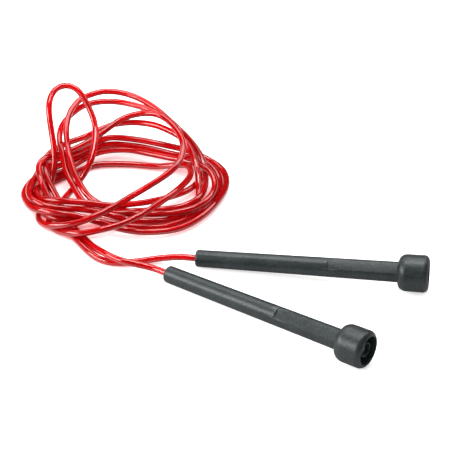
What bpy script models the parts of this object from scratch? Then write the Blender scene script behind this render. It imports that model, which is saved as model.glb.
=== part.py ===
"""Jump rope with a PVC cord and two bell-ended handles, lying in a loose coil.

The floor is z = 0; front is -Y, back +Y, left -X and right +X.  The cord lies in
about nine turns behind the handles.  It runs down the bore of each handle and
ends in a stop inside the bell, so that each handle can spin on the cord and slide
along its straight end.
Lengths are millimetres, turned to metres when the meshes are made.
"""
import math

import bmesh
import bpy
import numpy as np
from mathutils import Matrix, Vector

for leftover in list(bpy.data.objects):
    bpy.data.objects.remove(leftover, do_unlink=True)

MM = 0.001

# ---------------------------------------------------------------- dimensions
# Names in _R are radii; names in _AT are distances from the nose along a handle.
CORD_R = 2.5
CORD_SIDES = 8
CORD_LOWEST = CORD_R + 0.02       # lowest height of the cord's centre
CLEARANCE = 2 * CORD_R + 0.7      # centre distance kept between strands
STRAIGHT_END = 12.0               # straight cord outside each nose

HANDLE_LEN = 170.0
NOSE_R = 6.3
NOSE_EDGE = 1.8                   # rounding of the nose
SHAFT_END_R = 7.45
BELL_LEN = 22.4
BELL_AT = HANDLE_LEN - BELL_LEN
BELL_START_R = 13.4
BELL_R = 13.5
BELL_SHOULDER = 6.8               # length of the rounded shoulder
BELL_EDGE = 3.8                   # rounding of the open end
FILLET_OUT = 1.0                  # fillet between shaft and shoulder
FILLET_LEN = 0.6

MOUTH_R = 10.3                    # bell cavity at the open end
MOUTH_LIP_INSET = 0.15
MOUTH_LIP_DEPTH = 0.6
CAVITY_BACK_R = 9.9
CAVITY_BACK_AT = 153.5
CAVITY_CHAMFER = 1.0
TUBE_R = 5.3                      # inner tube standing in the bell
TUBE_RIM_AT = 167.8
TUBE_BORE_R = 4.5
TUBE_CHAMFER = 0.25
SEAT_AT = 151.0                   # shoulder the washer bears on
BORE_R = 2.95
BORE_CHAMFER = 0.5

FLAT_START_AT = 97.0              # two opposite flats run from here to the bell
FLAT_DEPTH = 1.3                  # below the tapered shaft all along
FLAT_DRAFT = 0.2                  # lean of the nose end wall over the cutter's height
CUTTER_REACH = 9.0                # cutter's half width, and its outer face from the axis

END_PLAY = 0.3                    # gap on either side of the washer
WASHER_R = 4.15
WASHER_HOLE_R = 2.9
WASHER_CHAMFER = 0.15
WASHER_START_AT = SEAT_AT + END_PLAY
WASHER_END_AT = WASHER_START_AT + 1.0

STOP_R = 4.05
STOP_HOLE_R = 2.8
STOP_START_AT = WASHER_END_AT + END_PLAY
STOP_END_AT = STOP_START_AT + 13.0
STOP_COLLAR = 1.6                 # length at full radius
STOP_STEP = 0.4                   # body inside the collar, over a cone as long
STOP_HOLE_END_AT = STOP_START_AT + 6.2
CORD_END_AT = STOP_HOLE_END_AT - 0.4
# inset from STOP_R, distance short of STOP_END_AT
STOP_DOME = [(STOP_STEP, 1.2), (0.75, 0.45), (1.5, 0.1), (2.4, 0.0)]

HANDLE_FACETS = 48
SMALL_FACETS = 32

# ------------------------------------------------------- how the rope is laid
LAY_SHIFT = (6.27, 16.83)         # puts the origin under the middle of the whole layout
DROP_FROM = (LAY_SHIFT[0], LAY_SHIFT[1] - 995.0, 670.0)   # side the turns were dropped from

# nose centre (x, y), heading below +X and roll of the flats in degrees
FAR_HANDLE = dict(nose=(-21.55, -52.15), heading=10.6, roll=30.0)
NEAR_HANDLE = dict(nose=(-41.85, -71.65), heading=35.9, roll=31.5)

# Cord waypoints (x, y, height of the centre), turn by turn, from the far
# handle's nose to the near handle's nose.
LAY = [
    # from the far handle along the floor and round the left of the coil
    (-48, -49, 4), (-62, -51, 3), (-76, -53, 3), (-87, -51, 3), (-99, -41, 3), (-110, -25, 3),
    (-115, -17, 3), (-120, -9, 3), (-129, 13, 3), (-138, 32, 6), (-146, 53, 10), (-148, 63, 12),
    (-145, 71, 13), (-139, 76, 14),
    # over the back, down the right, across the front and up the left
    (-123, 81, 18), (-109, 88, 22), (-99, 95, 26), (-87, 106, 30), (-81, 109, 32), (-68, 112, 34),
    (-55, 107, 36), (-49, 101, 36), (-44, 94, 36), (-36, 78, 34), (-33, 63, 30), (-36, 48, 27),
    (-40, 41, 26), (-44, 35, 25), (-65, 14, 22), (-73, 7, 21), (-80, 0, 20), (-94, -11, 18),
    (-109, -15, 13), (-131, -10, 6), (-141, -1, 4), (-143, 6, 4), (-142, 24, 3), (-139, 43, 5),
    (-137, 51, 8),
    # the tall loop at the back left
    (-135, 63, 16), (-136, 74, 26), (-137, 78, 30), (-140, 90, 48), (-140, 96, 53), (-136, 109, 58),
    (-127, 114, 59), (-118, 111, 56), (-115, 108, 53), (-110, 103, 46), (-104, 91, 35), (-105, 65, 22),
    (-112, 49, 13), (-116, 43, 11), (-129, 15, 6), (-135, 3, 4), (-134, -3, 4),
    # second strand across the front, then up the right
    (-125, -15, 5), (-112, -23, 8), (-106, -24, 9), (-94, -24, 12), (-79, -20, 14), (-64, -10, 16),
    (-57, -4, 17), (-50, 4, 18), (-37, 22, 18), (-28, 45, 15), (-27, 57, 13), (-29, 67, 12),
    (-35, 73, 9), (-42, 76, 7),
    # floor strand under the back, round the left, along the front, up the right
    (-53, 79, 4), (-77, 84, 3), (-99, 84, 3), (-107, 82, 3), (-114, 76, 3), (-127, 66, 3),
    (-134, 60, 3), (-140, 54, 3), (-149, 43, 5), (-147, 27, 8), (-141, 19, 11), (-133, 13, 14),
    (-122, 10, 15), (-103, 9, 14), (-85, 11, 10), (-66, 18, 8), (-57, 23, 7), (-39, 33, 6),
    (-26, 46, 5), (-18, 64, 5), (-16, 73, 6), (-18, 81, 9), (-21, 87, 12), (-30, 96, 20),
    (-41, 105, 27),
    # rearmost arc and its way round the front
    (-54, 122, 30), (-62, 130, 32), (-79, 141, 35), (-95, 145, 36), (-104, 144, 36), (-112, 140, 35),
    (-118, 135, 35), (-126, 119, 32), (-128, 99, 28), (-127, 88, 26), (-123, 65, 23), (-118, 46, 18),
    (-114, 37, 15), (-106, 23, 12), (-94, 14, 9), (-79, 10, 7), (-69, 10, 7), (-48, 13, 6),
    (-31, 18, 6), (-20, 30, 6), (-17, 50, 7), (-17, 69, 9), (-19, 76, 12), (-25, 85, 19),
    (-38, 96, 29),
    # second back arc, round the left and front to the right
    (-44, 102, 31), (-51, 112, 32), (-58, 120, 31), (-72, 131, 30), (-89, 138, 30), (-104, 138, 30),
    (-117, 131, 30), (-131, 109, 27), (-133, 90, 24), (-129, 71, 19), (-127, 61, 16), (-120, 42, 12),
    (-107, 17, 8), (-93, 8, 7), (-84, 7, 7), (-73, 6, 7), (-50, 5, 7), (-40, 6, 7),
    (-31, 8, 8), (-23, 11, 9), (-12, 24, 10), (-8, 42, 11), (-10, 52, 12), (-13, 60, 12),
    # low across the back, round the left: the widest turn
    (-29, 76, 10), (-45, 84, 9), (-61, 92, 8), (-69, 95, 8), (-78, 98, 8), (-94, 99, 7),
    (-106, 94, 7), (-124, 77, 6), (-131, 73, 5), (-144, 63, 4), (-150, 57, 4), (-156, 41, 5),
    (-151, 20, 7), (-146, 11, 8), (-139, 6, 9), (-132, 3, 9), (-109, -1, 8), (-86, -10, 6),
    (-70, -15, 5), (-52, -16, 5), (-35, -10, 4), (-20, 4, 4), (-8, 25, 4), (0, 49, 4),
    (-2, 71, 5), (-12, 83, 6),
    # next turn, a little narrower
    (-24, 90, 9), (-39, 93, 12), (-70, 103, 14), (-88, 107, 14), (-96, 107, 14), (-101, 103, 14),
    (-112, 91, 13), (-125, 80, 11), (-139, 72, 9), (-145, 66, 8), (-149, 58, 7), (-152, 40, 6),
    (-146, 19, 6), (-134, 2, 6), (-127, -1, 6), (-119, -1, 5), (-112, 1, 5), (-95, 2, 4),
    (-68, -6, 3), (-50, -7, 3), (-41, -4, 3), (-27, 6, 3), (-14, 20, 4), (-6, 41, 4),
    (-4, 52, 4), (-5, 63, 5), (-13, 79, 6),
    # next turn, ending in an inner strand at the right
    (-25, 87, 7), (-49, 94, 9), (-65, 99, 10), (-90, 104, 10), (-97, 103, 10), (-122, 82, 9),
    (-136, 73, 8), (-143, 68, 8), (-148, 60, 8), (-152, 49, 9), (-153, 38, 10), (-152, 27, 10),
    (-149, 18, 11), (-143, 12, 11), (-136, 9, 11), (-110, 8, 10), (-100, 7, 9), (-73, 0, 5),
    (-54, 0, 4), (-45, 2, 4), (-36, 6, 4), (-24, 18, 4), (-20, 36, 6), (-21, 53, 10),
    (-24, 67, 16), (-33, 87, 24),
    # last arc over the back, then the tail to the near handle
    (-46, 97, 27), (-61, 107, 27), (-78, 111, 26), (-92, 109, 25), (-116, 96, 20), (-123, 94, 19),
    (-136, 86, 16), (-141, 81, 15), (-144, 73, 13), (-141, 54, 11), (-133, 35, 7), (-129, 27, 5),
    (-125, 16, 3), (-116, -7, 3), (-104, -26, 3), (-93, -43, 5), (-85, -52, 7), (-76, -58, 8), (-62, -62, 7),
]

# Parting of the strands
SPLINE_STEPS = 10        # curve points per waypoint
SAMPLE_STEP = 3.0        # spacing of the centre line's points
SAME_STRAND = 18         # points closer than this along the cord never repel
ROUNDS = 600
SOFT_ROUNDS = 560        # rounds with strong easing; the rest only settle contacts
PAIR_ROUNDS = 10         # rounds between searches for close points
PAIR_MARGIN = 3.0        # search distance beyond the clearance
PAIR_BLOCK = 128         # points searched at a time
SIDE_SHARE = 0.5         # push across the drop direction, against 1 along it
PUSH_GAIN = 1.2
SOFT_EASE, LAST_EASE = 0.5, 0.08
RISE_KEPT, SIDE_KEPT = 0.999, 0.985   # part of the shift kept each soft round
THIN_SAG = 0.22          # how far a dropped point may lie off its chord
THIN_LONGEST = 16.0


def unit_rows(vectors):
    return vectors / np.linalg.norm(vectors, axis=1)[:, None]


def part_along(vectors, directions):
    """Component of each vector along its unit direction."""
    return (vectors * directions).sum(1)[:, None] * directions


def handle_axes(spec):
    """Nose centre, axis and flat normal of a handle resting on nose and bell."""
    x, y = spec["nose"]
    foot = BELL_AT + BELL_SHOULDER
    tilt = math.asin((BELL_START_R - NOSE_R) / (foot - NOSE_EDGE))
    heading, roll = math.radians(spec["heading"]), math.radians(spec["roll"])
    along = np.array([math.cos(heading) * math.cos(tilt),
                      -math.sin(heading) * math.cos(tilt),
                      math.sin(tilt)])
    side = np.array([math.sin(heading), math.cos(heading), 0.0])
    up = np.cross(along, side)
    normal = math.cos(roll) * up - math.sin(roll) * side
    nose = np.array([x + LAY_SHIFT[0], y + LAY_SHIFT[1], NOSE_R])
    return nose, along, normal


# --------------------------------------------------------- cord's centre line
def spline(knots, steps):
    """Centripetal Catmull-Rom curve through the knots."""
    knots = np.asarray(knots, float)
    padded = np.vstack([2 * knots[0] - knots[1], knots, 2 * knots[-1] - knots[-2]])
    t = np.linspace(0.0, 1.0, steps, endpoint=False)[:, None]
    rows = []
    for i in range(len(knots) - 1):
        before, start, end, after = padded[i:i + 4]
        span_in, span, span_out = (max(float(np.linalg.norm(chord)), 1e-6) ** 0.5
                                   for chord in (start - before, end - start, after - end))
        leave = ((start - before) / span_in - (end - before) / (span_in + span)
                 + (end - start) / span) * span
        arrive = ((end - start) / span - (after - start) / (span + span_out)
                  + (after - end) / span_out) * span
        rows.append((2 * t**3 - 3 * t**2 + 1) * start + (t**3 - 2 * t**2 + t) * leave
                    + (-2 * t**3 + 3 * t**2) * end + (t**3 - t**2) * arrive)
    return np.vstack(rows + [knots[-1:]])


def even(points, step):
    """Points spaced evenly along the polyline."""
    run = np.r_[0.0, np.cumsum(np.linalg.norm(np.diff(points, axis=0), axis=1))]
    places = np.linspace(0.0, run[-1], int(round(run[-1] / step)) + 1)
    return np.stack([np.interp(places, run, points[:, k]) for k in range(3)], -1)


def eased(values, amount):
    """Move each inner row towards the weighted mean of itself and its neighbours."""
    out = values.copy()
    mean = 0.25 * values[:-2] + 0.5 * values[1:-1] + 0.25 * values[2:]
    out[1:-1] += amount * (mean - values[1:-1])
    return out


def near_pairs(points, reach, skip):
    """Indices of points within reach of each other and over skip places apart."""
    first, second = [], []
    for low in range(0, len(points), PAIR_BLOCK):
        gap = np.linalg.norm(points[low:low + PAIR_BLOCK, None] - points[None], axis=2)
        i, j = np.nonzero(gap < reach)
        i = i + low
        keep = j - i > skip
        first.append(i[keep])
        second.append(j[keep])
    return np.concatenate(first), np.concatenate(second)


def contact_push(now, pairs, lift):
    """Mean push on each point from the strands closer than the clearance."""
    i, j = pairs
    gap = now[i] - now[j]
    size = np.linalg.norm(gap, axis=1) + 1e-9
    close = size < CLEARANCE
    i, j, gap, size = i[close], j[close], gap[close], size[close]
    rise = part_along(gap, lift[i])
    push = rise + SIDE_SHARE * (gap - rise)
    push /= np.linalg.norm(push, axis=1)[:, None] + 1e-9
    push *= 0.5 * (CLEARANCE - size)[:, None]   # half of the overlap to each strand
    total, hits = np.zeros((len(now), 3)), np.zeros(len(now))
    np.add.at(total, i, push)
    np.add.at(total, j, -push)
    np.add.at(hits, i, 1)
    np.add.at(hits, j, 1)
    return total, np.maximum(hits, 1)[:, None]


def part_strands(line, free):
    """Ease touching strands apart and keep them on or above the floor.

    They move mostly along the slope that runs up and forward over the coil,
    as they were dropped on it.
    """
    lift = unit_rows(DROP_FROM - line)
    skip = int(SAME_STRAND / SAMPLE_STEP)
    shift = np.zeros((len(line), 3))
    for turn in range(ROUNDS):
        now = line + shift
        if turn % PAIR_ROUNDS == 0:
            pairs = near_pairs(now, CLEARANCE + PAIR_MARGIN, skip)
        total, hits = contact_push(now, pairs, lift)
        shift += PUSH_GAIN * free * total / hits
        if turn < SOFT_ROUNDS:
            shift = eased(shift, SOFT_EASE)
            rise = part_along(shift, lift)
            shift = RISE_KEPT * rise + SIDE_KEPT * (shift - rise)
        else:
            shift = eased(shift, LAST_EASE)
        shift[:, 2] += np.maximum(CORD_LOWEST - line[:, 2] - shift[:, 2], 0.0)
        shift *= free
    return np.round(line + shift, 3)


def cord_line():
    """Centre line from stop to stop, straight inside and just outside the handles."""
    far, far_dir, _ = handle_axes(FAR_HANDLE)
    near, near_dir, _ = handle_axes(NEAR_HANDLE)
    runs = (0.0, STRAIGHT_END / 2, STRAIGHT_END)
    knots = [far - far_dir * run for run in runs]
    knots += [np.array([x + LAY_SHIFT[0], y + LAY_SHIFT[1], z], float) for x, y, z in LAY]
    knots += [near - near_dir * run for run in reversed(runs)]
    line = even(spline(knots, SPLINE_STEPS), SAMPLE_STEP)
    free = np.ones((len(line), 1))    # 0 holds a point still
    fixed = int(round(STRAIGHT_END / SAMPLE_STEP)) + 1
    free[:fixed] = 0.0
    free[-fixed:] = 0.0
    for _ in range(2):
        line = line + free * (eased(line, 1.0) - line)
    line = part_strands(line, free)
    return np.vstack([far + far_dir * CORD_END_AT, line, near + near_dir * CORD_END_AT])


def thin(points, sag, longest):
    """Keep only the points needed to hold the curve within the sag."""
    keep, i = [0], 0
    while i < len(points) - 1:
        j = i + 1
        while j + 1 < len(points):
            k = j + 1
            chord = points[k] - points[i]
            size = np.linalg.norm(chord)
            if size > longest and i > 0:
                break
            inner = points[i + 1:k] - points[i]
            off = inner - np.outer(inner @ chord / size**2, chord)
            if np.linalg.norm(off, axis=1).max() > sag:
                break
            j = k
        keep.append(j)
        i = j
    return points[keep]


# ------------------------------------------------------------------- helpers
def material(name, colour, roughness, **inputs):
    mat = bpy.data.materials.new(name)
    mat.use_nodes = True
    mat.diffuse_color = (*colour, 1.0)
    shader = mat.node_tree.nodes["Principled BSDF"]
    shader.inputs["Base Color"].default_value = (*colour, 1.0)
    shader.inputs["Roughness"].default_value = roughness
    for key, value in inputs.items():
        shader.inputs[key].default_value = value
    return mat


def make(name, verts, faces, mat=None, smooth=True):
    mesh = bpy.data.meshes.new(name)
    mesh.from_pydata([tuple(float(c) * MM for c in vert) for vert in verts], [], faces)
    bm = bmesh.new()
    bm.from_mesh(mesh)
    bmesh.ops.recalc_face_normals(bm, faces=bm.faces)
    bm.to_mesh(mesh)
    bm.free()
    for poly in mesh.polygons:
        poly.use_smooth = smooth
    obj = bpy.data.objects.new(name, mesh)
    bpy.context.scene.collection.objects.link(obj)
    if mat is not None:
        mesh.materials.append(mat)
    return obj


def lathe(name, outline, facets, mat):
    """Turn a (radius, z) outline about local Z; it closes on itself or on the axis."""
    verts, index = [], []
    for radius, z in outline:
        if radius < 1e-9:
            index.append([len(verts)] * facets)
            verts.append((0.0, 0.0, z))
        else:
            index.append(list(range(len(verts), len(verts) + facets)))
            angles = [2 * math.pi * k / facets for k in range(facets)]
            verts += [(radius * math.cos(a), radius * math.sin(a), z) for a in angles]
    faces = []
    closed = outline[0][0] > 1e-9
    for n in range(len(outline) if closed else len(outline) - 1):
        low, high = index[n], index[(n + 1) % len(outline)]
        for k in range(facets):
            m = (k + 1) % facets
            # dropping repeats leaves a triangle, or nothing, at the axis
            loop = tuple(dict.fromkeys((low[k], low[m], high[m], high[k])))
            if len(loop) > 2:
                faces.append(loop)
    return make(name, verts, faces, mat)


def arc(centre, radius, start, end, count):
    """Points of an arc in the (radius, z) plane, angles in degrees."""
    return [(centre[0] + radius * math.cos(a), centre[1] + radius * math.sin(a))
            for a in np.linspace(math.radians(start), math.radians(end), count)]


def place(obj, nose, along, normal):
    """Local Z on the handle's axis, local Y out of the flat."""
    across = np.cross(normal, along)
    frame = Matrix([[across[k], normal[k], along[k]] for k in range(3)])
    obj.rotation_mode = "QUATERNION"
    obj.rotation_quaternion = frame.to_quaternion()
    obj.location = Vector([float(c) * MM for c in nose])


# -------------------------------------------------------------------- handle
def shaft_radius(z):
    return NOSE_R + (SHAFT_END_R - NOSE_R) * (z - NOSE_EDGE) / (BELL_AT - NOSE_EDGE)


def handle_outline():
    ring = arc((NOSE_R - NOSE_EDGE, NOSE_EDGE), NOSE_EDGE, -90, 0, 5)
    for share in (0.33, 0.63, 0.995):
        z = NOSE_EDGE + (BELL_AT - NOSE_EDGE) * share
        ring.append((shaft_radius(z), z))
    # small fillet at the shaft's end, then the rounded shoulder
    ring += [(SHAFT_END_R + 0.25, BELL_AT + 0.06), (SHAFT_END_R + 0.7, BELL_AT + 0.35)]
    rise = BELL_START_R - SHAFT_END_R - FILLET_OUT
    for angle in map(math.radians, (18, 38, 56, 74, 90)):
        ring.append((SHAFT_END_R + FILLET_OUT + rise * math.sin(angle),
                     BELL_AT + FILLET_LEN + (BELL_SHOULDER - FILLET_LEN) * (1 - math.cos(angle))))
    ring += arc((BELL_R - BELL_EDGE, HANDLE_LEN - BELL_EDGE), BELL_EDGE, 0, 78, 6)
    # mouth, cavity round the inner tube
    ring += [(MOUTH_R, HANDLE_LEN - 0.02),
             (MOUTH_R - MOUTH_LIP_INSET, HANDLE_LEN - MOUTH_LIP_DEPTH),
             (CAVITY_BACK_R, CAVITY_BACK_AT + CAVITY_CHAMFER),
             (CAVITY_BACK_R - CAVITY_CHAMFER, CAVITY_BACK_AT),
             (TUBE_R + 0.6, CAVITY_BACK_AT), (TUBE_R + 0.1, CAVITY_BACK_AT + 0.5)]
    # tube rim, seat, bore
    ring += [(TUBE_R, TUBE_RIM_AT - TUBE_CHAMFER), (TUBE_R - TUBE_CHAMFER, TUBE_RIM_AT),
             (TUBE_BORE_R + TUBE_CHAMFER, TUBE_RIM_AT), (TUBE_BORE_R, TUBE_RIM_AT - TUBE_CHAMFER),
             (TUBE_BORE_R, SEAT_AT), (BORE_R, SEAT_AT),
             (BORE_R, BORE_CHAMFER), (BORE_R + BORE_CHAMFER, 0.0)]
    return ring


def flat_cutter(name, sign):
    """Slab on the +Y or -Y side; its inner face is the flat, its nose end wall leans back."""
    ends = ((FLAT_START_AT, FLAT_DRAFT), (BELL_AT, 0.0))
    verts = []
    for x in (-CUTTER_REACH * sign, CUTTER_REACH * sign):
        verts += [(x, sign * (shaft_radius(z) - FLAT_DEPTH), z) for z, _ in ends]
        verts += [(x, sign * CUTTER_REACH, z - lean) for z, lean in ends]
    faces = [(0, 1, 3, 2), (4, 6, 7, 5), (0, 4, 5, 1), (2, 3, 7, 6), (0, 2, 6, 4), (1, 5, 7, 3)]
    cutter = make(name, verts, faces, smooth=False)
    cutter.hide_render = True
    cutter.display_type = "WIRE"
    return cutter


def build_shell(label, axes):
    plastic = material(label + "_shell_plastic", colour=(0.085, 0.095, 0.10), roughness=0.55)
    shell = lathe(label + "_handle_shell", handle_outline(), HANDLE_FACETS, plastic)
    for sign, side in ((1, "a"), (-1, "b")):
        cutter = flat_cutter(label + "_flat_cutter_" + side, sign)
        place(cutter, *axes)
        cut = shell.modifiers.new("flat_" + side, "BOOLEAN")
        cut.operation = "DIFFERENCE"
        cut.solver = "EXACT"
        cut.object = cutter
    return shell


def build_washer(label):
    start, end, edge = WASHER_START_AT, WASHER_END_AT, WASHER_CHAMFER
    outline = [(WASHER_HOLE_R, start), (WASHER_R - edge, start), (WASHER_R, start + edge),
               (WASHER_R, end - edge), (WASHER_R - edge, end), (WASHER_HOLE_R, end)]
    steel = material(label + "_washer_steel", colour=(0.55, 0.55, 0.56), roughness=0.35,
                     Metallic=1.0)
    return lathe(label + "_thrust_washer", outline, SMALL_FACETS, steel)


def build_stop(label):
    """Collared stop with a blind hole for the cord's end and a domed far end."""
    collar_end = STOP_START_AT + STOP_COLLAR
    outline = [(0.0, STOP_HOLE_END_AT), (STOP_HOLE_R, STOP_HOLE_END_AT),
               (STOP_HOLE_R, STOP_START_AT), (STOP_R, STOP_START_AT),
               (STOP_R, collar_end), (STOP_R - STOP_STEP, collar_end + STOP_STEP)]
    outline += [(STOP_R - inset, STOP_END_AT - short) for inset, short in STOP_DOME]
    outline.append((0.0, STOP_END_AT))
    plastic = material(label + "_stop_plastic", colour=(0.12, 0.125, 0.13), roughness=0.5)
    return lathe(label + "_end_stop", outline, SMALL_FACETS, plastic)


def build_handle(label, spec):
    axes = handle_axes(spec)
    for obj in (build_shell(label, axes), build_washer(label), build_stop(label)):
        place(obj, *axes)


# ---------------------------------------------------------------------- cord
def build_cord():
    """Eight-sided sweep with a frame carried along without twist."""
    centres = thin(cord_line(), THIN_SAG, THIN_LONGEST)
    chords = np.diff(centres, axis=0)
    units = unit_rows(chords)
    ahead = unit_rows(np.vstack([chords[:1], units[:-1] + units[1:], chords[-1:]]))
    side = np.cross(ahead[0], (0.0, 0.0, 1.0))
    verts = []
    for centre, way in zip(centres, ahead):
        side = side - (side @ way) * way
        side /= np.linalg.norm(side)
        up = np.cross(way, side)
        for n in range(CORD_SIDES):
            angle = 2 * math.pi * n / CORD_SIDES
            verts.append(centre + CORD_R * (math.cos(angle) * side + math.sin(angle) * up))
    faces = [tuple(range(CORD_SIDES)), tuple(range(len(verts) - CORD_SIDES, len(verts)))]
    for low in range(0, len(verts) - CORD_SIDES, CORD_SIDES):
        high = low + CORD_SIDES
        for n in range(CORD_SIDES):
            m = (n + 1) % CORD_SIDES
            faces.append((low + n, low + m, high + m, high + n))
    pvc = material("cord_pvc", colour=(0.55, 0.004, 0.008), roughness=0.12, IOR=1.53)
    make("cord", verts, faces, pvc)


build_cord()
build_handle("far", FAR_HANDLE)
build_handle("near", NEAR_HANDLE)
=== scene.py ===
"""Looks for a jump rope: a coiled round PVC cord and two grained plastic handles.

The rope lies on a pale floor at z = 0. X runs to the right, Y to the back, and the
camera looks from the front (-Y) and above. Shapes are worked out in millimetres and
turned into metres when a mesh is made; materials, lights and camera are in metres.
"""
import math

import bmesh
import bpy
import numpy as np
from mathutils import Matrix, Vector


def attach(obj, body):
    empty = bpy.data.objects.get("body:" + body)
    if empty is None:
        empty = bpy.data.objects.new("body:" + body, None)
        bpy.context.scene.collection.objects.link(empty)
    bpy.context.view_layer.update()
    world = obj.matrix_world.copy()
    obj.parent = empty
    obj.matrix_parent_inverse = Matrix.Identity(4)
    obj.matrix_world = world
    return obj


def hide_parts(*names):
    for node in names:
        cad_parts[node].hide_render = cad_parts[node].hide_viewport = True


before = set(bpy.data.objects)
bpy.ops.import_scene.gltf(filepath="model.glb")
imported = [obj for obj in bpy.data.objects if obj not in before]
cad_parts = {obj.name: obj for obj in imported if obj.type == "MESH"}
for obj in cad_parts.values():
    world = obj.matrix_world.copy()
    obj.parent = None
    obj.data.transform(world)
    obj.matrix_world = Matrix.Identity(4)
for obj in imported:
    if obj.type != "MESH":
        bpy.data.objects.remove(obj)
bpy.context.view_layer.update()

MM = 0.001

# ---------------------------------------------------------------- dimensions
CORD_R = 2.5
CORD_MAX_R = CORD_R + 0.02
CORD_SIDES = 26
CORD_STEP = 1.7         # distance between rings of the cord outside the handles
CORD_INNER_RINGS = 90   # rings along each straight run inside a handle
CORD_END_INSET = 0.25   # the last ring at each end is this much narrower
CORD_END_T = 158.4      # where the cord ends inside a handle

# Places along a handle are measured from the nose end and marked T.
HANDLE_LEN = 170.0
HANDLE_TURN = 112       # facets round the shell
NOSE_R = 6.3
NOSE_EDGE = 1.8         # rounding of the nose
SHAFT_END_R = 7.45
BELL_LEN = 22.4
BELL_T = HANDLE_LEN - BELL_LEN
BELL_START_R = 13.4     # where the shoulder ends
BELL_R = 13.5
BELL_SHOULDER = 6.8     # length of the shoulder
BELL_EDGE = 3.8         # rounding at the open end
BORE_R = 2.95

MOUTH_R = 10.3          # bell cavity at the open end
CAVITY_BACK_R = 9.9
CAVITY_BACK_T = 153.5
TUBE_R = 5.3            # inner tube standing in the bell
TUBE_RIM_T = 167.8
TUBE_BORE_R = 4.5
SEAT_T = 151.0          # shoulder inside the tube

FLAT_START_T = 97.0     # two opposite flats run from here to the bell
FLAT_DEPTH = 1.3        # below the tapered shaft all along
FLAT_DRAFT = 0.2        # lean of the nose end wall over the cutter's height
CUTTER_REACH = 9.0      # half width of the cutter, and its outer side from the axis
EDGE_ANGLE = 24         # degrees; edges sharper than this are bevelled
SHARP_ANGLE = 38        # degrees; edges sharper than this stay sharp in shading

LAY_SHIFT = (6.27, 16.83)   # puts the origin under the middle of the whole layout
LAY_FROM = (LAY_SHIFT[0], LAY_SHIFT[1] - 995.0, 670.0)  # side the turns were dropped from

# nose centre (x, y) before LAY_SHIFT, heading from +X towards -Y and roll of the
# flats, both in degrees
FAR_HANDLE = ((-21.55, -52.15), 10.6, 30.0)
NEAR_HANDLE = ((-41.85, -71.65), 35.9, 31.5)

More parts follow.
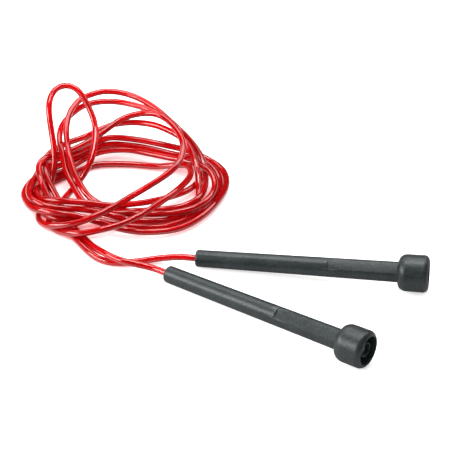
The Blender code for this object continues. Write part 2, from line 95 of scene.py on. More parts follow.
# ------------------------------------------------------- how the cord is laid
# Waypoints (x, y, height of the centre) before LAY_SHIFT, turn by turn, from the
# far handle's nose to the near handle's nose.
LAY = [
    # from the far handle along the floor and up the left of the coil
    (-48, -49, 4), (-62, -51, 3), (-76, -53, 3), (-87, -51, 3), (-99, -41, 3), (-110, -25, 3),
    (-115, -17, 3), (-120, -9, 3), (-129, 13, 3), (-138, 32, 6), (-146, 53, 10), (-148, 63, 12),
    (-145, 71, 13), (-139, 76, 14),
    # over the back, down across the middle to the front left
    (-123, 81, 18), (-109, 88, 22), (-99, 95, 26), (-87, 106, 30), (-81, 109, 32), (-68, 112, 34),
    (-55, 107, 36), (-49, 101, 36), (-44, 94, 36), (-36, 78, 34), (-33, 63, 30), (-36, 48, 27),
    (-40, 41, 26), (-44, 35, 25), (-65, 14, 22), (-73, 7, 21), (-80, 0, 20), (-94, -11, 18),
    (-109, -15, 13), (-131, -10, 6), (-141, -1, 4), (-143, 6, 4), (-142, 24, 3), (-139, 43, 5),
    (-137, 51, 8),
    # the tall loop at the back left
    (-135, 63, 16), (-136, 74, 26), (-137, 78, 30), (-140, 90, 48), (-140, 96, 53), (-136, 109, 58),
    (-127, 114, 59), (-118, 111, 56), (-115, 108, 53), (-110, 103, 46), (-104, 91, 35), (-105, 65, 22),
    (-112, 49, 13), (-116, 43, 11), (-129, 15, 6), (-135, 3, 4), (-134, -3, 4),
    # across the front, then back up the right
    (-125, -15, 5), (-112, -23, 8), (-106, -24, 9), (-94, -24, 12), (-79, -20, 14), (-64, -10, 16),
    (-57, -4, 17), (-50, 4, 18), (-37, 22, 18), (-28, 45, 15), (-27, 57, 13), (-29, 67, 12),
    (-35, 73, 9), (-42, 76, 7),
    # along the floor under the back, round the left and front, rising at the right
    (-53, 79, 4), (-77, 84, 3), (-99, 84, 3), (-107, 82, 3), (-114, 76, 3), (-127, 66, 3),
    (-134, 60, 3), (-140, 54, 3), (-149, 43, 5), (-147, 27, 8), (-141, 19, 11), (-133, 13, 14),
    (-122, 10, 15), (-103, 9, 14), (-85, 11, 10), (-66, 18, 8), (-57, 23, 7), (-39, 33, 6),
    (-26, 46, 5), (-18, 64, 5), (-16, 73, 6), (-18, 81, 9), (-21, 87, 12), (-30, 96, 20),
    (-41, 105, 27),
    # rearmost arc and its way round the front
    (-54, 122, 30), (-62, 130, 32), (-79, 141, 35), (-95, 145, 36), (-104, 144, 36), (-112, 140, 35),
    (-118, 135, 35), (-126, 119, 32), (-128, 99, 28), (-127, 88, 26), (-123, 65, 23), (-118, 46, 18),
    (-114, 37, 15), (-106, 23, 12), (-94, 14, 9), (-79, 10, 7), (-69, 10, 7), (-48, 13, 6),
    (-31, 18, 6), (-20, 30, 6), (-17, 50, 7), (-17, 69, 9), (-19, 76, 12), (-25, 85, 19),
    (-38, 96, 29),
    # second rear arc and its way round the front
    (-44, 102, 31), (-51, 112, 32), (-58, 120, 31), (-72, 131, 30), (-89, 138, 30), (-104, 138, 30),
    (-117, 131, 30), (-131, 109, 27), (-133, 90, 24), (-129, 71, 19), (-127, 61, 16), (-120, 42, 12),
    (-107, 17, 8), (-93, 8, 7), (-84, 7, 7), (-73, 6, 7), (-50, 5, 7), (-40, 6, 7),
    (-31, 8, 8), (-23, 11, 9), (-12, 24, 10), (-8, 42, 11), (-10, 52, 12), (-13, 60, 12),
    # low along the back, round the left and front, out to the far right
    (-29, 76, 10), (-45, 84, 9), (-61, 92, 8), (-69, 95, 8), (-78, 98, 8), (-94, 99, 7),
    (-106, 94, 7), (-124, 77, 6), (-131, 73, 5), (-144, 63, 4), (-150, 57, 4), (-156, 41, 5),
    (-151, 20, 7), (-146, 11, 8), (-139, 6, 9), (-132, 3, 9), (-109, -1, 8), (-86, -10, 6),
    (-70, -15, 5), (-52, -16, 5), (-35, -10, 4), (-20, 4, 4), (-8, 25, 4), (0, 49, 4),
    (-2, 71, 5), (-12, 83, 6),
    # next turn, inside it at the front and right
    (-24, 90, 9), (-39, 93, 12), (-70, 103, 14), (-88, 107, 14), (-96, 107, 14), (-101, 103, 14),
    (-112, 91, 13), (-125, 80, 11), (-139, 72, 9), (-145, 66, 8), (-149, 58, 7), (-152, 40, 6),
    (-146, 19, 6), (-134, 2, 6), (-127, -1, 6), (-119, -1, 5), (-112, 1, 5), (-95, 2, 4),
    (-68, -6, 3), (-50, -7, 3), (-41, -4, 3), (-27, 6, 3), (-14, 20, 4), (-6, 41, 4),
    (-4, 52, 4), (-5, 63, 5), (-13, 79, 6),
    # next turn, further in at the front and right
    (-25, 87, 7), (-49, 94, 9), (-65, 99, 10), (-90, 104, 10), (-97, 103, 10), (-122, 82, 9),
    (-136, 73, 8), (-143, 68, 8), (-148, 60, 8), (-152, 49, 9), (-153, 38, 10), (-152, 27, 10),
    (-149, 18, 11), (-143, 12, 11), (-136, 9, 11), (-110, 8, 10), (-100, 7, 9), (-73, 0, 5),
    (-54, 0, 4), (-45, 2, 4), (-36, 6, 4), (-24, 18, 4), (-20, 36, 6), (-21, 53, 10),
    (-24, 67, 16), (-33, 87, 24),
    # last arc over the back, then the tail to the near handle
    (-46, 97, 27), (-61, 107, 27), (-78, 111, 26), (-92, 109, 25), (-116, 96, 20), (-123, 94, 19),
    (-136, 86, 16), (-141, 81, 15), (-144, 73, 13), (-141, 54, 11), (-133, 35, 7), (-129, 27, 5),
    (-125, 16, 3), (-116, -7, 3), (-104, -26, 3), (-93, -43, 5), (-85, -52, 7), (-76, -58, 8),
    (-62, -62, 7),
]

FLOOR_LIFT = CORD_MAX_R     # lowest height of the cord's centre
CLEARANCE = 5.7             # centre distance kept between strands
STRAIGHT_END = 12.0         # straight cord outside each nose
LAY_STEP = 3.0              # distance between points while strands are parted
SKIP = int(18 / LAY_STEP)   # neighbours this near along the cord never push
PAIR_MARGIN = 3.0           # extra reach when pairs are looked up
PAIR_EVERY = 10             # rounds between look-ups
PAIR_BLOCK = 128            # points compared at a time
ROUNDS = 600
SETTLE_FROM = 560           # from this round on the shift is only lightly eased
EASE, SETTLE_EASE = 0.5, 0.08
PUSH_GAIN = 1.2
ACROSS_SHARE = 0.5          # weight of a push across the lift direction
LIFT_KEEP, ACROSS_KEEP = 0.999, 0.985   # share of the shift kept each round


def handle_axes(spec):
    """Nose centre, axis and flat normal of a handle resting on nose and bell."""
    (x, y), heading, roll = spec
    foot = BELL_T + BELL_SHOULDER
    tilt = math.asin((BELL_START_R - NOSE_R) / (foot - NOSE_EDGE))
    heading, roll = math.radians(heading), math.radians(roll)
    along = np.array([math.cos(heading) * math.cos(tilt),
                      -math.sin(heading) * math.cos(tilt), math.sin(tilt)])
    side = np.array([math.sin(heading), math.cos(heading), 0.0])
    up = np.cross(along, side)
    normal = math.cos(roll) * up - math.sin(roll) * side
    nose = np.array([x + LAY_SHIFT[0], y + LAY_SHIFT[1], NOSE_R])
    return nose, along, normal


def spline(knots, per):
    """Centripetal Catmull-Rom curve through the knots, with per points to a span."""
    knots = np.asarray(knots, float)
    padded = np.vstack([2 * knots[0] - knots[1], knots, 2 * knots[-1] - knots[-2]])
    t = np.linspace(0.0, 1.0, per, endpoint=False)[:, None]
    rows = []
    for i in range(len(knots) - 1):
        before, start, end, after = padded[i:i + 4]
        lead, span, trail = (max(float(np.linalg.norm(chord)), 1e-6) ** 0.5
                             for chord in (start - before, end - start, after - end))
        leave = ((start - before) / lead - (end - before) / (lead + span)
                 + (end - start) / span) * span
        arrive = ((end - start) / span - (after - start) / (span + trail)
                  + (after - end) / trail) * span
        rows.append((2 * t**3 - 3 * t**2 + 1) * start + (t**3 - 2 * t**2 + t) * leave
                    + (-2 * t**3 + 3 * t**2) * end + (t**3 - t**2) * arrive)
    return np.vstack(rows + [knots[-1:]])


def run_along(points):
    """Distance along the line at each point."""
    return np.r_[0.0, np.cumsum(np.linalg.norm(np.diff(points, axis=0), axis=1))]


def even(points, step):
    run = run_along(points)
    places = np.linspace(0.0, run[-1], int(round(run[-1] / step)) + 1)
    return np.stack([np.interp(places, run, points[:, k]) for k in range(3)], -1)


def averaged(values):
    """Weighted mean of each inner row and its two neighbours."""
    return 0.25 * values[:-2] + 0.5 * values[1:-1] + 0.25 * values[2:]


def eased(values, amount):
    out = values.copy()
    out[1:-1] += amount * (averaged(values) - values[1:-1])
    return out


def smooth_line(points, passes=14):
    out = points.copy()
    for _ in range(passes):
        out[1:-1] = averaged(out)
    return out


def near_pairs(points):
    """Indices of points that may touch, leaving out neighbours along the cord."""
    first, second = [], []
    for low in range(0, len(points), PAIR_BLOCK):
        gap = np.linalg.norm(points[low:low + PAIR_BLOCK, None] - points[None], axis=2)
        i, j = np.nonzero(gap < CLEARANCE + PAIR_MARGIN)
        i = i + low
        keep = j - i > SKIP
        first.append(i[keep])
        second.append(j[keep])
    return np.concatenate(first), np.concatenate(second)


def lay_cord(far, far_along, near, near_along):
    """Centre line from nose to nose: the waypoints, smoothed, and strands parted.

    Strands that would touch are eased apart mostly along the slope that runs
    up and forward over the coil, as they were dropped on it, and stay on the floor.
    """
    runs = (0.0, STRAIGHT_END / 2, STRAIGHT_END)
    knots = [far - far_along * run for run in runs]
    knots += [np.array([x + LAY_SHIFT[0], y + LAY_SHIFT[1], z], float) for x, y, z in LAY]
    knots += [near - near_along * run for run in reversed(runs)]
    line = even(spline(knots, per=10), LAY_STEP)
    count = len(line)
    free = np.ones((count, 1))
    fixed = int(round(STRAIGHT_END / LAY_STEP)) + 1
    free[:fixed] = 0.0
    free[-fixed:] = 0.0
    for _ in range(2):
        line = line + free * (eased(line, 1.0) - line)
    lift = LAY_FROM - line
    lift /= np.linalg.norm(lift, axis=1)[:, None]
    shift = np.zeros((count, 3))
    for turn in range(ROUNDS):
        now = line + shift
        if turn % PAIR_EVERY == 0:
            pairs = near_pairs(now)
        i, j = pairs
        gap = now[i] - now[j]
        size = np.linalg.norm(gap, axis=1) + 1e-9
        close = size < CLEARANCE
        i, j, gap, size = i[close], j[close], gap[close], size[close]
        rise = (gap * lift[i]).sum(1)[:, None] * lift[i]
        push = rise + ACROSS_SHARE * (gap - rise)
        push /= np.linalg.norm(push, axis=1)[:, None] + 1e-9
        push *= 0.5 * (CLEARANCE - size)[:, None]
        total, hits = np.zeros((count, 3)), np.zeros(count)
        np.add.at(total, i, push)
        np.add.at(total, j, -push)
        np.add.at(hits, i, 1)
        np.add.at(hits, j, 1)
        shift += PUSH_GAIN * free * total / np.maximum(hits, 1)[:, None]
        if turn < SETTLE_FROM:
            shift = eased(shift, EASE)
            rise = (shift * lift).sum(1)[:, None] * lift
            shift = LIFT_KEEP * rise + ACROSS_KEEP * (shift - rise)
        else:
            shift = eased(shift, SETTLE_EASE)
        shift[:, 2] += np.maximum(FLOOR_LIFT - line[:, 2] - shift[:, 2], 0.0)
        shift *= free
    return np.round(line + shift, 3)


# ------------------------------------------------------------------ materials
class Nodes:
    """Small helper for building one Principled material from procedural nodes."""

    def __init__(self, name):
        self.material = bpy.data.materials.new(name)
        self.material.use_nodes = True
        self.tree = self.material.node_tree
        self.shader = self.tree.nodes["Principled BSDF"]
        self.x = -300

    def add(self, kind, **settings):
        node = self.tree.nodes.new(kind)
        self.x -= 60
        node.location = (self.x, -self.x * 0.4)
        for key, value in settings.items():
            setattr(node, key, value)
        return node

    def feed(self, socket, value):
        """Link a node output into the socket, or set a plain value."""
        if isinstance(value, bpy.types.NodeSocket):
            self.tree.links.new(value, socket)
        else:
            socket.default_value = value

    def set(self, **values):
        """Feed shader inputs; underscores in the keys stand for spaces."""
        for key, value in values.items():
            self.feed(self.shader.inputs[key.replace("_", " ")], value)

    def mapping(self, vector, scale, location=(0, 0, 0)):
        node = self.add("ShaderNodeMapping")
        node.inputs["Scale"].default_value = scale
        node.inputs["Location"].default_value = location
        self.feed(node.inputs["Vector"], vector)
        return node.outputs["Vector"]

    def coords(self, kind="Object", scale=(1, 1, 1), location=(0, 0, 0)):
        where = self.add("ShaderNodeTexCoord")
        return self.mapping(where.outputs[kind], scale, location)

    def noise(self, vector, scale, detail=3.0, rough=0.55):
        node = self.add("ShaderNodeTexNoise")
        node.inputs["Scale"].default_value = scale
        node.inputs["Detail"].default_value = detail
        node.inputs["Roughness"].default_value = rough
        self.feed(node.inputs["Vector"], vector)
        return node.outputs["Fac"]

    def ramp(self, factor, stops):
        """Colour ramp through (position, colour) stops."""
        node = self.add("ShaderNodeValToRGB")
        self.feed(node.inputs["Fac"], factor)
        marks = node.color_ramp.elements
        while len(marks) < len(stops):
            marks.new(0.5)
        for mark, (position, colour) in zip(marks, stops):
            mark.position = position
            mark.color = (*colour, 1.0)
        return node.outputs["Color"]

    def spread(self, value, low, high, from_low=0.3, from_high=0.7):
        """Map from_low..from_high onto low..high."""
        node = self.add("ShaderNodeMapRange")
        node.inputs["From Min"].default_value = from_low
        node.inputs["From Max"].default_value = from_high
        node.inputs["To Min"].default_value = low
        node.inputs["To Max"].default_value = high
        self.feed(node.inputs["Value"], value)
        return node.outputs["Result"]

    def math(self, operation, first, second):
        node = self.add("ShaderNodeMath", operation=operation)
        self.feed(node.inputs[0], first)
        self.feed(node.inputs[1], second)
        return node.outputs[0]

    def scaled(self, value, by):
        return self.math("MULTIPLY", value, by)

    def mix(self, factor, under, over):
        """Blend from colour under (factor 0) to colour over (factor 1)."""
        node = self.add("ShaderNodeMix", data_type="RGBA")
        self.feed(node.inputs[0], factor)
        for socket, colour in ((node.inputs[6], under), (node.inputs[7], over)):
            self.feed(socket, (*colour, 1.0) if isinstance(colour, tuple) else colour)
        return node.outputs[2]

    def bump(self, height, strength, distance, normal=None):
        node = self.add("ShaderNodeBump")
        node.inputs["Strength"].default_value = strength
        node.inputs["Distance"].default_value = distance
        self.feed(node.inputs["Height"], height)
        if normal is not None:
            self.feed(node.inputs["Normal"], normal)
        return node.outputs["Normal"]


def cord_pvc():
    """Glossy, half see-through red PVC with faint lines along the cord and small scuffs."""
    n = Nodes("cord_red_pvc")
    run = n.coords("UV")        # u round the cord 0..1, v along it in metres
    place = n.coords()
    cloud = n.noise(place, scale=55.0, detail=2.0)
    base = n.ramp(cloud, [(0.30, (0.50, 0.0010, 0.0024)), (0.52, (0.61, 0.0016, 0.0034)),
                          (0.75, (0.65, 0.0030, 0.0050))])
    drawn = n.mapping(run, scale=(26.0, 9.0, 1.0))
    lines = n.noise(drawn, scale=1.0, rough=0.6)
    scuff = n.noise(place, scale=420.0, detail=4.0, rough=0.65)
    scuffed = n.spread(scuff, low=0.0, high=1.0, from_low=0.60, from_high=0.72)
    n.set(Base_Color=n.mix(n.scaled(scuffed, by=0.06), under=base, over=(0.85, 0.10, 0.10)))
    n.set(Roughness=n.math("ADD", n.spread(lines, low=0.035, high=0.075),
                           n.scaled(scuffed, by=0.06)))
    normal = n.bump(lines, strength=0.03, distance=0.0001)
    waves = n.noise(place, scale=70.0, detail=1.0)
    n.set(Normal=n.bump(waves, strength=0.03, distance=0.0005, normal=normal))
    n.set(IOR=1.52, Transmission_Weight=0.56, Specular_IOR_Level=0.82)
    return n.material


def shell_plastic():
    """Dark grey moulded plastic with a fine grain and lighter sharp edges: partly rubbed wear, partly
    a painted highlight.
    """
    n = Nodes("handle_grey_plastic")
    place = n.coords()
    fine = n.noise(place, scale=2600.0, detail=2.0, rough=0.6)
    grain = n.noise(place, scale=1150.0, detail=2.0, rough=0.5)
    mottle = n.noise(place, scale=620.0, rough=0.65)
    cloud = n.noise(place, scale=60.0, detail=2.0, rough=0.5)
    tone = n.ramp(n.math("ADD", n.scaled(mottle, by=0.65), n.scaled(cloud, by=0.35)),
                  [(0.36, (0.0068, 0.0102, 0.0117)), (0.5, (0.0155, 0.0218, 0.0236)),
                   (0.64, (0.0275, 0.0355, 0.0370))])
    # sharp edges painted lighter and a little glossier: rubbed wear and a painted highlight along the
    # edges
    geometry = n.add("ShaderNodeNewGeometry")
    edge = n.spread(geometry.outputs["Pointiness"], low=0.0, high=1.0,
                    from_low=0.512, from_high=0.56)
    edge_wear_and_highlight = n.scaled(edge, by=n.spread(mottle, low=0.15, high=0.75))
    n.set(Base_Color=n.mix(edge_wear_and_highlight, under=tone, over=(0.13, 0.14, 0.14)))
    n.set(Roughness=n.math("SUBTRACT", n.spread(grain, low=0.34, high=0.50),
                           n.scaled(edge_wear_and_highlight, by=0.10)))
    normal = n.bump(mottle, strength=0.18, distance=0.00020)
    normal = n.bump(grain, strength=0.45, distance=0.00010, normal=normal)
    n.set(Normal=n.bump(fine, strength=0.25, distance=0.00004, normal=normal))
    n.set(IOR=1.49)
    return n.material


def stop_plastic():
    """Mottled grey end stop, lighter than the handle."""
    n = Nodes("stop_grey_plastic")
    place = n.coords()
    grain = n.noise(place, scale=1400.0)
    mottle = n.noise(place, scale=300.0)
    n.set(Base_Color=n.ramp(mottle, [(0.35, (0.075, 0.080, 0.082)),
                                     (0.65, (0.125, 0.13, 0.132))]))
    n.set(Roughness=n.spread(grain, low=0.30, high=0.50))
    n.set(Normal=n.bump(grain, strength=0.2, distance=0.00006))
    return n.material


def washer_steel():
    """Bright steel with fine scratches."""
    n = Nodes("washer_steel")
    place = n.coords(scale=(1.0, 1.0, 14.0))
    scratch = n.noise(place, scale=900.0, detail=4.0, rough=0.7)
    n.set(Base_Color=n.ramp(scratch, [(0.3, (0.42, 0.42, 0.43)), (0.7, (0.66, 0.66, 0.67))]))
    n.set(Roughness=n.spread(scratch, low=0.22, high=0.42))
    n.set(Normal=n.bump(scratch, strength=0.15, distance=0.00003))
    n.set(Metallic=1.0)
    return n.material


# ellipse on the floor under the coil, in metres, where red light and brighter reflections are painted
# on the floor
COIL_X, COIL_Y = -0.072, 0.062
COIL_RX, COIL_RY = 0.077, 0.097


def floor_white():
    """Pale studio floor: full white to the camera, dimmer in reflections and bounces, with red light
    painted on under the coil.
    """
    n = Nodes("studio_floor")
    place = n.coords()
    tone = n.ramp(n.noise(place, scale=9.0), [(0.3, (0.93, 0.93, 0.93)),
                                              (0.7, (0.955, 0.955, 0.955))])
    rays = n.add("ShaderNodeLightPath").outputs
    direct = n.math("MAXIMUM", rays["Is Camera Ray"], rays["Is Transmission Ray"])
    # painted red light: the light the see-through cord would throw on the floor just under the coil is
    # painted into the floor colour where ambient occlusion finds strands close by
    near = n.add("ShaderNodeAmbientOcclusion", samples=8)
    near.inputs["Distance"].default_value = 0.030
    from_coil = n.coords(scale=(1 / COIL_RX, 1 / COIL_RY, 1.0),
                         location=(-COIL_X / COIL_RX, -COIL_Y / COIL_RY, 0.0))
    length = n.add("ShaderNodeVectorMath", operation="LENGTH")
    n.feed(length.inputs[0], from_coil)
    openness, away = near.outputs["AO"], length.outputs["Value"]    # away is 1 on the ellipse
    painted_gap_glow = n.scaled(n.spread(openness, low=1.0, high=0.0, from_low=0.06, from_high=0.38),
                    by=n.spread(away, low=1.0, high=0.0, from_low=1.00, from_high=1.15))
    painted_faint_glow = n.scaled(n.spread(openness, low=0.22, high=0.0, from_low=0.40, from_high=0.92),
                    by=n.spread(away, low=1.0, high=0.0, from_low=0.62, from_high=0.82))
    painted_red_glow = n.math("MAXIMUM", painted_gap_glow, painted_faint_glow)
    tone = n.mix(painted_red_glow, under=tone, over=(0.95, 0.12, 0.13))
    # painted reflection: glossy rays see a brighter floor near the coil, which lightens the cord's
    # reflections there
    painted_reflection_mask = n.scaled(rays["Is Glossy Ray"],
                        by=n.spread(away, low=1.0, high=0.0, from_low=1.05, from_high=1.35))
    bounced = n.mix(painted_reflection_mask, under=(0.50, 0.50, 0.50), over=(0.92, 0.88, 0.88))
    n.set(Base_Color=n.mix(direct, under=bounced, over=tone))
    # the floor's emission glows red with the same painted light
    n.set(Emission_Color=n.mix(painted_red_glow, under=(1.0, 0.985, 0.985), over=(1.0, 0.09, 0.10)))
    n.set(Emission_Strength=n.math("ADD", n.scaled(rays["Is Camera Ray"], by=0.50),
                                   n.scaled(rays["Is Transmission Ray"], by=0.20)))
    n.set(Roughness=0.75, Specular_IOR_Level=0.2)
    return n.material


# --------------------------------------------------------------------- pieces
def link_object(name, data):
    obj = bpy.data.objects.new(name, data)
    bpy.context.scene.collection.objects.link(obj)
    return obj


def mesh_object(name, verts, faces, uvs=None):
    """Smooth-shaded mesh from millimetres; uvs holds one (u, v) per corner of each face."""
    mesh = bpy.data.meshes.new(name)
    mesh.from_pydata([tuple(float(c) * MM for c in vert) for vert in verts], [], faces)
    if uvs is not None:
        layer = mesh.uv_layers.new(name="run")
        corners = np.array([corner for face in uvs for corner in face], np.float32)
        layer.data.foreach_set("uv", corners.ravel())
    for poly in mesh.polygons:
        poly.use_smooth = True
    return link_object(name, mesh)


def face_outward(mesh):
    bm = bmesh.new()
    bm.from_mesh(mesh)
    bmesh.ops.recalc_face_normals(bm, faces=bm.faces)
    bm.to_mesh(mesh)
    bm.free()


def cord_rings():
    """Ring centres from the cord's end in the far handle to its end in the near one."""
    far, far_along, _ = handle_axes(FAR_HANDLE)
    near, near_along, _ = handle_axes(NEAR_HANDLE)
    line = lay_cord(far, far_along, near, near_along)
    body = even(spline(line, per=4), CORD_STEP)
    soft = smooth_line(body)
    body = soft + smooth_line(body - soft)      # gives back the bends smoothing took
    far_in = np.linspace(far + far_along * CORD_END_T, line[0], CORD_INNER_RINGS)[:-1]
    near_in = np.linspace(line[-1], near + near_along * CORD_END_T, CORD_INNER_RINGS)[1:]
    return np.vstack([far_in, body, near_in])


def build_cord(material):
    """Round sweep along the laid line, a little uneven, with slightly narrowed ends."""
    rings = cord_rings()
    run = run_along(rings)
    ahead = np.gradient(rings, run, axis=0)
    ahead /= np.linalg.norm(ahead, axis=1)[:, None]
    side = np.cross(ahead[0], (0.0, 0.0, 1.0))
    angle = 2 * math.pi * np.arange(CORD_SIDES) / CORD_SIDES
    last = len(rings) - 1
    verts = []
    for k, way in enumerate(ahead):
        side = side - (side @ way) * way
        side /= np.linalg.norm(side)
        up = np.cross(way, side)
        swell = 0.006 * math.sin(run[k] / 37.0)
        ripple = 0.004 * math.sin(run[k] / 11.3 + 1.0)
        radius = CORD_R * (1.0 + swell + ripple)
        if k in (0, last):
            radius -= CORD_END_INSET
        radius = min(radius, CORD_MAX_R)
        verts.extend(rings[k] + radius * (np.cos(angle)[:, None] * side
                                          + np.sin(angle)[:, None] * up))
    faces, uvs = [], []
    for k in range(last):
        this, following = k * CORD_SIDES, (k + 1) * CORD_SIDES
        v0, v1 = run[k] * MM, run[k + 1] * MM
        for m in range(CORD_SIDES):
            q = (m + 1) % CORD_SIDES
            faces.append((this + m, following + m, following + q, this + q))
            u0, u1 = m / CORD_SIDES, (m + 1) / CORD_SIDES
            uvs.append(((u0, v0), (u0, v1), (u1, v1), (u1, v0)))
    cap_uv = tuple((0.5 + 0.4 * math.cos(a), 0.001 * math.sin(a)) for a in angle)
    first_cap = tuple(range(CORD_SIDES))
    last_cap = tuple(range(last * CORD_SIDES, (last + 1) * CORD_SIDES))
    faces += [first_cap, last_cap[::-1]]
    uvs += [cap_uv, cap_uv]
    obj = mesh_object("cord_round", verts, faces, uvs)
    face_outward(obj.data)
    obj.data.materials.append(material)
    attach(obj, "cord")
    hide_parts("cord")


def arc(centre_r, centre_t, radius, start, end, steps):
    return [(centre_r + radius * math.cos(a), centre_t + radius * math.sin(a))
            for a in np.linspace(math.radians(start), math.radians(end), steps)]


def shell_outline():
    """Closed (radius, place along the handle) outline: outside, bell cavity, tube, bore."""
    # nose and tapered shaft
    ring = arc(NOSE_R - NOSE_EDGE, NOSE_EDGE, NOSE_EDGE, start=-90, end=0, steps=10)
    ring += [(NOSE_R + (SHAFT_END_R - NOSE_R) * s, NOSE_EDGE + (BELL_T - NOSE_EDGE) * s)
             for s in np.linspace(0.04, 0.993, 34)]
    # fillet and shoulder of the bell
    ring += [(SHAFT_END_R + 0.03, BELL_T - 0.25), (SHAFT_END_R + 0.12, BELL_T - 0.05),
             (SHAFT_END_R + 0.35, BELL_T + 0.12), (SHAFT_END_R + 0.7, BELL_T + 0.35)]
    rise = BELL_START_R - SHAFT_END_R - 1.0
    ring += [(SHAFT_END_R + 1.0 + rise * math.sin(a),
              BELL_T + 0.6 + (BELL_SHOULDER - 0.6) * (1 - math.cos(a)))
             for a in map(math.radians, np.linspace(8, 90, 13))]
    # bell wall and rounded rim
    wall = HANDLE_LEN - BELL_EDGE - BELL_T - BELL_SHOULDER
    ring += [(BELL_START_R + (BELL_R - BELL_START_R) * s, BELL_T + BELL_SHOULDER + wall * s)
             for s in np.linspace(0.12, 0.92, 7)]
    ring += arc(BELL_R - BELL_EDGE, HANDLE_LEN - BELL_EDGE, BELL_EDGE,
                start=0, end=77, steps=14)
    ring += [
        # cavity
        (MOUTH_R + 0.13, HANDLE_LEN - 0.06), (MOUTH_R, HANDLE_LEN - 0.18),
        (MOUTH_R - 0.1, HANDLE_LEN - 0.5), (MOUTH_R - 0.18, HANDLE_LEN - 1.4),
        (CAVITY_BACK_R + 0.1, CAVITY_BACK_T + 4.0), (CAVITY_BACK_R, CAVITY_BACK_T + 1.4),
        (CAVITY_BACK_R - 0.35, CAVITY_BACK_T + 0.45),
        (CAVITY_BACK_R - 1.1, CAVITY_BACK_T + 0.05),
        # inner tube
        (TUBE_R + 0.9, CAVITY_BACK_T), (TUBE_R + 0.3, CAVITY_BACK_T + 0.2),
        (TUBE_R + 0.1, CAVITY_BACK_T + 0.7), (TUBE_R + 0.04, TUBE_RIM_T - 4.0),
        (TUBE_R, TUBE_RIM_T - 0.4), (TUBE_R - 0.08, TUBE_RIM_T - 0.12),
        (TUBE_R - 0.28, TUBE_RIM_T), (TUBE_BORE_R + 0.28, TUBE_RIM_T),
        (TUBE_BORE_R + 0.07, TUBE_RIM_T - 0.12), (TUBE_BORE_R, TUBE_RIM_T - 0.4),
        # seat and bore
        (TUBE_BORE_R, SEAT_T + 0.25), (TUBE_BORE_R - 0.2, SEAT_T), (BORE_R + 0.1, SEAT_T),
        (BORE_R, SEAT_T - 0.1), (BORE_R, 0.7), (BORE_R + 0.15, 0.25), (BORE_R + 0.55, 0.0),
    ]
    return ring


def lathe(name, ring, turn):
    verts = [(r * math.cos(2 * math.pi * k / turn), r * math.sin(2 * math.pi * k / turn), t)
             for r, t in ring for k in range(turn)]
    faces = []
    for n in range(len(ring)):
        this, following = n * turn, ((n + 1) % len(ring)) * turn
        for k in range(turn):
            m = (k + 1) % turn
            faces.append((this + k, this + m, following + m, following + k))
    return mesh_object(name, verts, faces)


def flat_cutter(way):
    """Block that cuts the flat on the +Y (way 1) or -Y (way -1) side of the shaft."""
    ends = ((FLAT_START_T, FLAT_DRAFT), (BELL_T - 0.05, 0.0))
    slope = (SHAFT_END_R - NOSE_R) / (BELL_T - NOSE_EDGE)
    verts = []
    for x in (-CUTTER_REACH * way, CUTTER_REACH * way):
        verts += [(x, way * (NOSE_R + slope * (t - NOSE_EDGE) - FLAT_DEPTH), t)
                  for t, _ in ends]
        verts += [(x, way * CUTTER_REACH, t - lean) for t, lean in ends]
    faces = [(0, 1, 3, 2), (4, 6, 7, 5), (0, 4, 5, 1), (2, 3, 7, 6), (0, 2, 6, 4), (1, 5, 7, 3)]
    obj = mesh_object("cutter", verts, faces)
    for poly in obj.data.polygons:
        poly.use_smooth = False
    return obj


def build_shell(label, spec, material):
    """Handle shell: lathed outline, two flats cut, edges softened, then laid in place."""
    obj = lathe(label + "_shell_fine", shell_outline(), HANDLE_TURN)
    face_outward(obj.data)
    cutters = []
    for way in (1, -1):
        cutters.append(flat_cutter(way))
        cut = obj.modifiers.new("flat", "BOOLEAN")
        cut.operation = "DIFFERENCE"
        cut.solver = "EXACT"
        cut.object = cutters[-1]
    soft = obj.modifiers.new("soft_edges", "BEVEL")
    soft.width = 0.00016
    soft.segments = 2
    soft.limit_method = "ANGLE"
    soft.angle_limit = math.radians(EDGE_ANGLE)
    bpy.context.view_layer.update()
    graph = bpy.context.evaluated_depsgraph_get()
    final = bpy.data.meshes.new_from_object(obj.evaluated_get(graph))
    obj.modifiers.clear()
    obj.data = final
    for cutter in cutters:
        bpy.data.objects.remove(cutter, do_unlink=True)
    for poly in final.polygons:
        poly.use_smooth = True
    final.set_sharp_from_angle(angle=math.radians(SHARP_ANGLE))
    nose, along, normal = handle_axes(spec)
    across = np.cross(normal, along)
    pose = [[across[k], normal[k], along[k], nose[k] * MM] for k in range(3)]
    final.transform(Matrix(pose + [[0, 0, 0, 1]]))
    final.materials.clear()
    final.materials.append(material)
    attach(obj, label + "_handle")
    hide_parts(label + "_handle_shell")


def paint(node, material):
    """Give a CAD piece the material in every slot."""
    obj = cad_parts[node]
    if not obj.material_slots:
        obj.data.materials.append(material)
    for entry in obj.material_slots:
        entry.link = "OBJECT"
        entry.material = material


red = cord_pvc()
grey = shell_plastic()
dark = stop_plastic()
steel = washer_steel()
build_cord(red)
build_shell("far", FAR_HANDLE, grey)
build_shell("near", NEAR_HANDLE, grey)
for piece, finish in (("end_stop", dark), ("thrust_washer", steel)):
    for label in ("far", "near"):
        paint(f"{label}_{piece}", finish)


# ---------------------------------------------------------------------- stage
def build_floor(half=6, z=-0.0001):
    mesh = bpy.data.meshes.new("floor")
    corners = [(-half, -half, z), (half, -half, z), (half, half, z), (-half, half, z)]
    mesh.from_pydata(corners, [], [(0, 1, 2, 3)])
    obj = bpy.data.objects.new("floor", mesh)
    mesh.materials.append(floor_white())
    bpy.context.scene.collection.objects.link(obj)


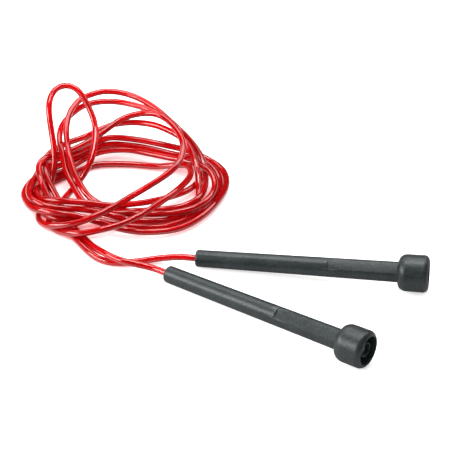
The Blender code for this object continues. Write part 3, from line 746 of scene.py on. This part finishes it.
def build_world():
    """White room that glossy rays see darker."""
    world = bpy.data.worlds.new("studio")
    world.use_nodes = True
    tree = world.node_tree
    rays = tree.nodes.new("ShaderNodeLightPath")
    level = tree.nodes.new("ShaderNodeMapRange")
    level.inputs["To Min"].default_value = 0.60
    level.inputs["To Max"].default_value = 0.05
    tree.links.new(rays.outputs["Is Glossy Ray"], level.inputs["Value"])
    background = tree.nodes["Background"]
    background.inputs["Color"].default_value = (1.0, 1.0, 1.0, 1.0)
    tree.links.new(level.outputs["Result"], background.inputs["Strength"])
    bpy.context.scene.world = world


def aim(obj, where, target):
    obj.location = where
    obj.rotation_euler = (Vector(target) - Vector(where)).to_track_quat("-Z", "Y").to_euler()


def softbox(name, where, target, size, power):
    lamp = bpy.data.lights.new(name, "AREA")
    lamp.shape = "RECTANGLE"
    lamp.size, lamp.size_y = size
    lamp.energy = power
    aim(link_object(name, lamp), where, target)


VIEW_ELEVATION = math.radians(33.95)
VIEW_DISTANCE = 1.2
VIEW_OFFSET = (0.45, -0.75)     # mm from LAY_SHIFT to the point looked at
FOCAL_LENGTH = 125.4161947      # mm


def build_camera():
    target = Vector(((LAY_SHIFT[0] + VIEW_OFFSET[0]) * MM,
                     (LAY_SHIFT[1] + VIEW_OFFSET[1]) * MM, 0.0))
    lens = bpy.data.cameras.new("camera")
    lens.sensor_width = 36.0
    lens.lens = FOCAL_LENGTH
    lens.clip_start = 0.05
    camera = link_object("camera", lens)
    back_off = Vector((0.0, -VIEW_DISTANCE * math.cos(VIEW_ELEVATION),
                       VIEW_DISTANCE * math.sin(VIEW_ELEVATION)))
    camera.location = target + back_off
    aim(camera, camera.location.copy(), target)
    bpy.context.scene.camera = camera


build_floor()
build_world()
softbox("top_box", where=(-0.05, 0.19, 1.15), target=(0.0, 0.0, 0.0),
        size=(0.7, 0.30), power=8.5)
softbox("left_box", where=(-1.02, -0.32, 0.58), target=(0.02, -0.09, 0.0),
        size=(1.0, 0.46), power=16.0)
softbox("back_panel", where=(0.15, 0.80, 1.00), target=(0.0, 0.0, 0.02),
        size=(2.3, 0.40), power=11.0)
build_camera()
bpy.context.scene.view_settings.view_transform = "Standard"
